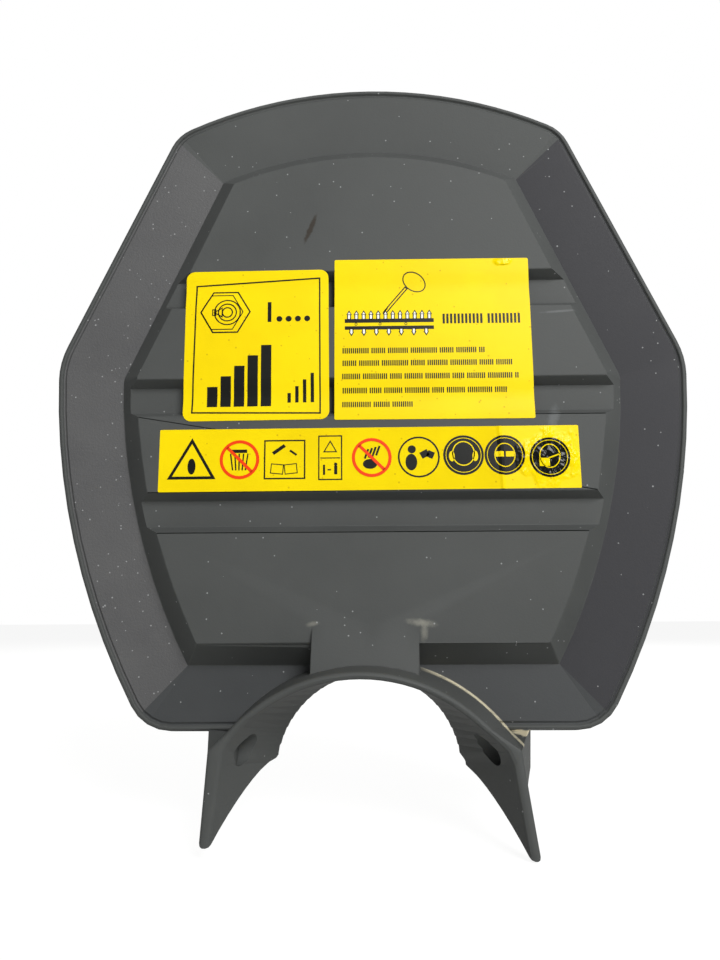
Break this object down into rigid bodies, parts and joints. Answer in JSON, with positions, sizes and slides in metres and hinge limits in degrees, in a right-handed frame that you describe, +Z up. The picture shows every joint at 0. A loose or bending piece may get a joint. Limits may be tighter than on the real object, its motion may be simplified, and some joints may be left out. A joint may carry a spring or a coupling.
{
  "type": "hand guard for a cordless hedge trimmer",
  "caption": "Moulded plastic hand guard for a cordless hedge trimmer: dished shield with printed labels and an arched saddle that snaps onto the machine's nose.",
  "frame": {"origin": "midway between the two peg recesses in the cheeks of the saddle", "axes": "+Z up the shield, +X to the user's right, -Y towards the user and +Y towards the blade"},
  "size_m": [0.1928, 0.0275, 0.2292],
  "materials": {
    "guard": "dark grey moulded ABS or polypropylene, satin, scuffed",
    "label": "yellow printed adhesive film, satin gloss"
  },
  "bodies": {
    "root": {"guard_moulding": "guard", "noise_label": "label", "care_label": "label", "safety_strip": "label"}
  },
  "joints": []
}
